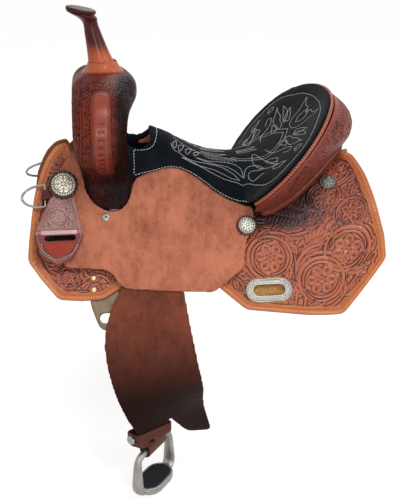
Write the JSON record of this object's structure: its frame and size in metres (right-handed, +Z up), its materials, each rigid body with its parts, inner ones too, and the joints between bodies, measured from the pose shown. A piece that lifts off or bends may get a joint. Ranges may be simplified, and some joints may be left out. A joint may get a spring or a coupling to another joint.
{
  "type": "barrel_racing_saddle",
  "caption": "Western barrel racing saddle with a padded black suede seat, floral-tooled skirts, rough-out seat jockeys and fenders, and metal stirrups",
  "frame": {"origin": "On the spine line at the middle of the saddle, where the fleece rests on the horse's back or on a rack", "axes": "+X to the rear, toward the cantle; +Y to the off (right) side, so the near side is -Y; +Z up, with the saddle standing as it is ridden"},
  "size_m": [0.6136, 0.6544, 0.7477],
  "materials": {
    "tooled_leather": "floral-tooled saddle leather, orange-brown, satin",
    "fork_leather": "tooled saddle leather, dark burgundy, semi-gloss",
    "rough_leather": "rough-out leather, reddish brown, matt",
    "fender_leather": "rough-out leather, dark chocolate brown, matt",
    "dark_leather": "dark burgundy leather, semi-gloss",
    "roll_leather": "smooth red-brown leather, semi-gloss",
    "black_suede": "black suede with pale stitching, matt",
    "rawhide": "rawhide over wood, tan",
    "fleece": "wool fleece, golden tan",
    "silver": "antique silver-coloured engraved metal",
    "steel": "plain steel",
    "brass": "domed brass rivet heads",
    "aluminium": "satin aluminium",
    "rubber": "black rubber tread"
  },
  "bodies": {
    "saddle_body": {"cantle_back": "tooled_leather", "cantle_binding": "fork_leather", "cantle_roll": "roll_leather", "fork_cover": "fork_leather", "ground_seat": "rough_leather", "horn_cap": "fork_leather", "horn_collar": "roll_leather", "horn_post": "steel", "horn_wrap": "fork_leather", "near_dee_strap": "dark_leather", "near_fleece": "fleece", "near_front_concho": "silver", "near_front_rigging_plate": "silver", "near_front_rosette": "dark_leather", "near_jockey_concho": "silver", "near_jockey_rosette": "dark_leather", "near_jockey_screw": "silver", "near_rear_concho": "silver", "near_rear_rigging_plate": "silver", "near_rigging_rivet_1": "brass", "near_rigging_rivet_2": "brass", "near_seat_jockey": "rough_leather", "near_skirt": "tooled_leather", "near_tree_bar": "rawhide", "off_dee_strap": "dark_leather", "off_fleece": "fleece", "off_front_concho": "silver", "off_front_rigging_plate": "silver", "off_front_rosette": "dark_leather", "off_jockey_concho": "silver", "off_jockey_rosette": "dark_leather", "off_jockey_screw": "silver", "off_rear_concho": "silver", "off_rear_rigging_plate": "silver", "off_rigging_rivet_1": "brass", "off_rigging_rivet_2": "brass", "off_seat_jockey": "rough_leather", "off_skirt": "tooled_leather", "off_tree_bar": "rawhide", "seat_pad": "black_suede", "tree_cantle": "rawhide", "tree_fork": "rawhide"},
    "near_fender_body": {"near_fender": "fender_leather", "near_stirrup_leather": "dark_leather", "near_hobble_strap": "dark_leather", "near_hobble_buckle": "steel"},
    "near_stirrup_body": {"near_stirrup": "aluminium", "near_tread_pad": "rubber"},
    "near_dee_body": {"near_dee_ring": "steel"},
    "off_fender_body": {"off_fender": "fender_leather", "off_stirrup_leather": "dark_leather", "off_hobble_strap": "dark_leather", "off_hobble_buckle": "steel"},
    "off_stirrup_body": {"off_stirrup": "aluminium", "off_tread_pad": "rubber"},
    "off_dee_body": {"off_dee_ring": "steel"},
    "keeper_body": {"latigo_keeper": "dark_leather"}
  },
  "joints": [
    {"name": "near_fender_swing", "type": "hinge", "parent": "saddle_body", "child": "near_fender_body", "pos_m": [-0.1057, -0.13173, -0.08017], "axis": [0, -0.809, 0.5878], "range_deg": [-30, 30]},
    {"name": "near_stirrup_swing", "type": "hinge", "parent": "near_fender_body", "child": "near_stirrup_body", "pos_m": [-0.10916, -0.27841, -0.36775], "axis": [0.5736, 0.8191, 0], "range_deg": [-40, 40]},
    {"name": "near_dee_swing", "type": "hinge", "parent": "saddle_body", "child": "near_dee_body", "pos_m": [-0.2705, -0.07791, 0.0031], "axis": [0, 0.5878, 0.809], "range_deg": [0, 60]},
    {"name": "off_fender_swing", "type": "hinge", "parent": "saddle_body", "child": "off_fender_body", "pos_m": [-0.1057, 0.13173, -0.08017], "axis": [0, 0.809, 0.5878], "range_deg": [-30, 30]},
    {"name": "off_stirrup_swing", "type": "hinge", "parent": "off_fender_body", "child": "off_stirrup_body", "pos_m": [-0.10916, 0.27841, -0.36775], "axis": [0.5736, -0.8191, 0], "range_deg": [-40, 40]},
    {"name": "off_dee_swing", "type": "hinge", "parent": "saddle_body", "child": "off_dee_body", "pos_m": [-0.2705, 0.07791, 0.0031], "axis": [0, 0.5878, -0.809], "range_deg": [0, 60]},
    {"name": "keeper_swing", "type": "hinge", "parent": "saddle_body", "child": "keeper_body", "pos_m": [-0.239, -0.0751, 0.01836], "axis": [0, -0.809, 0.5878], "range_deg": [-8, 15]}
  ]
}
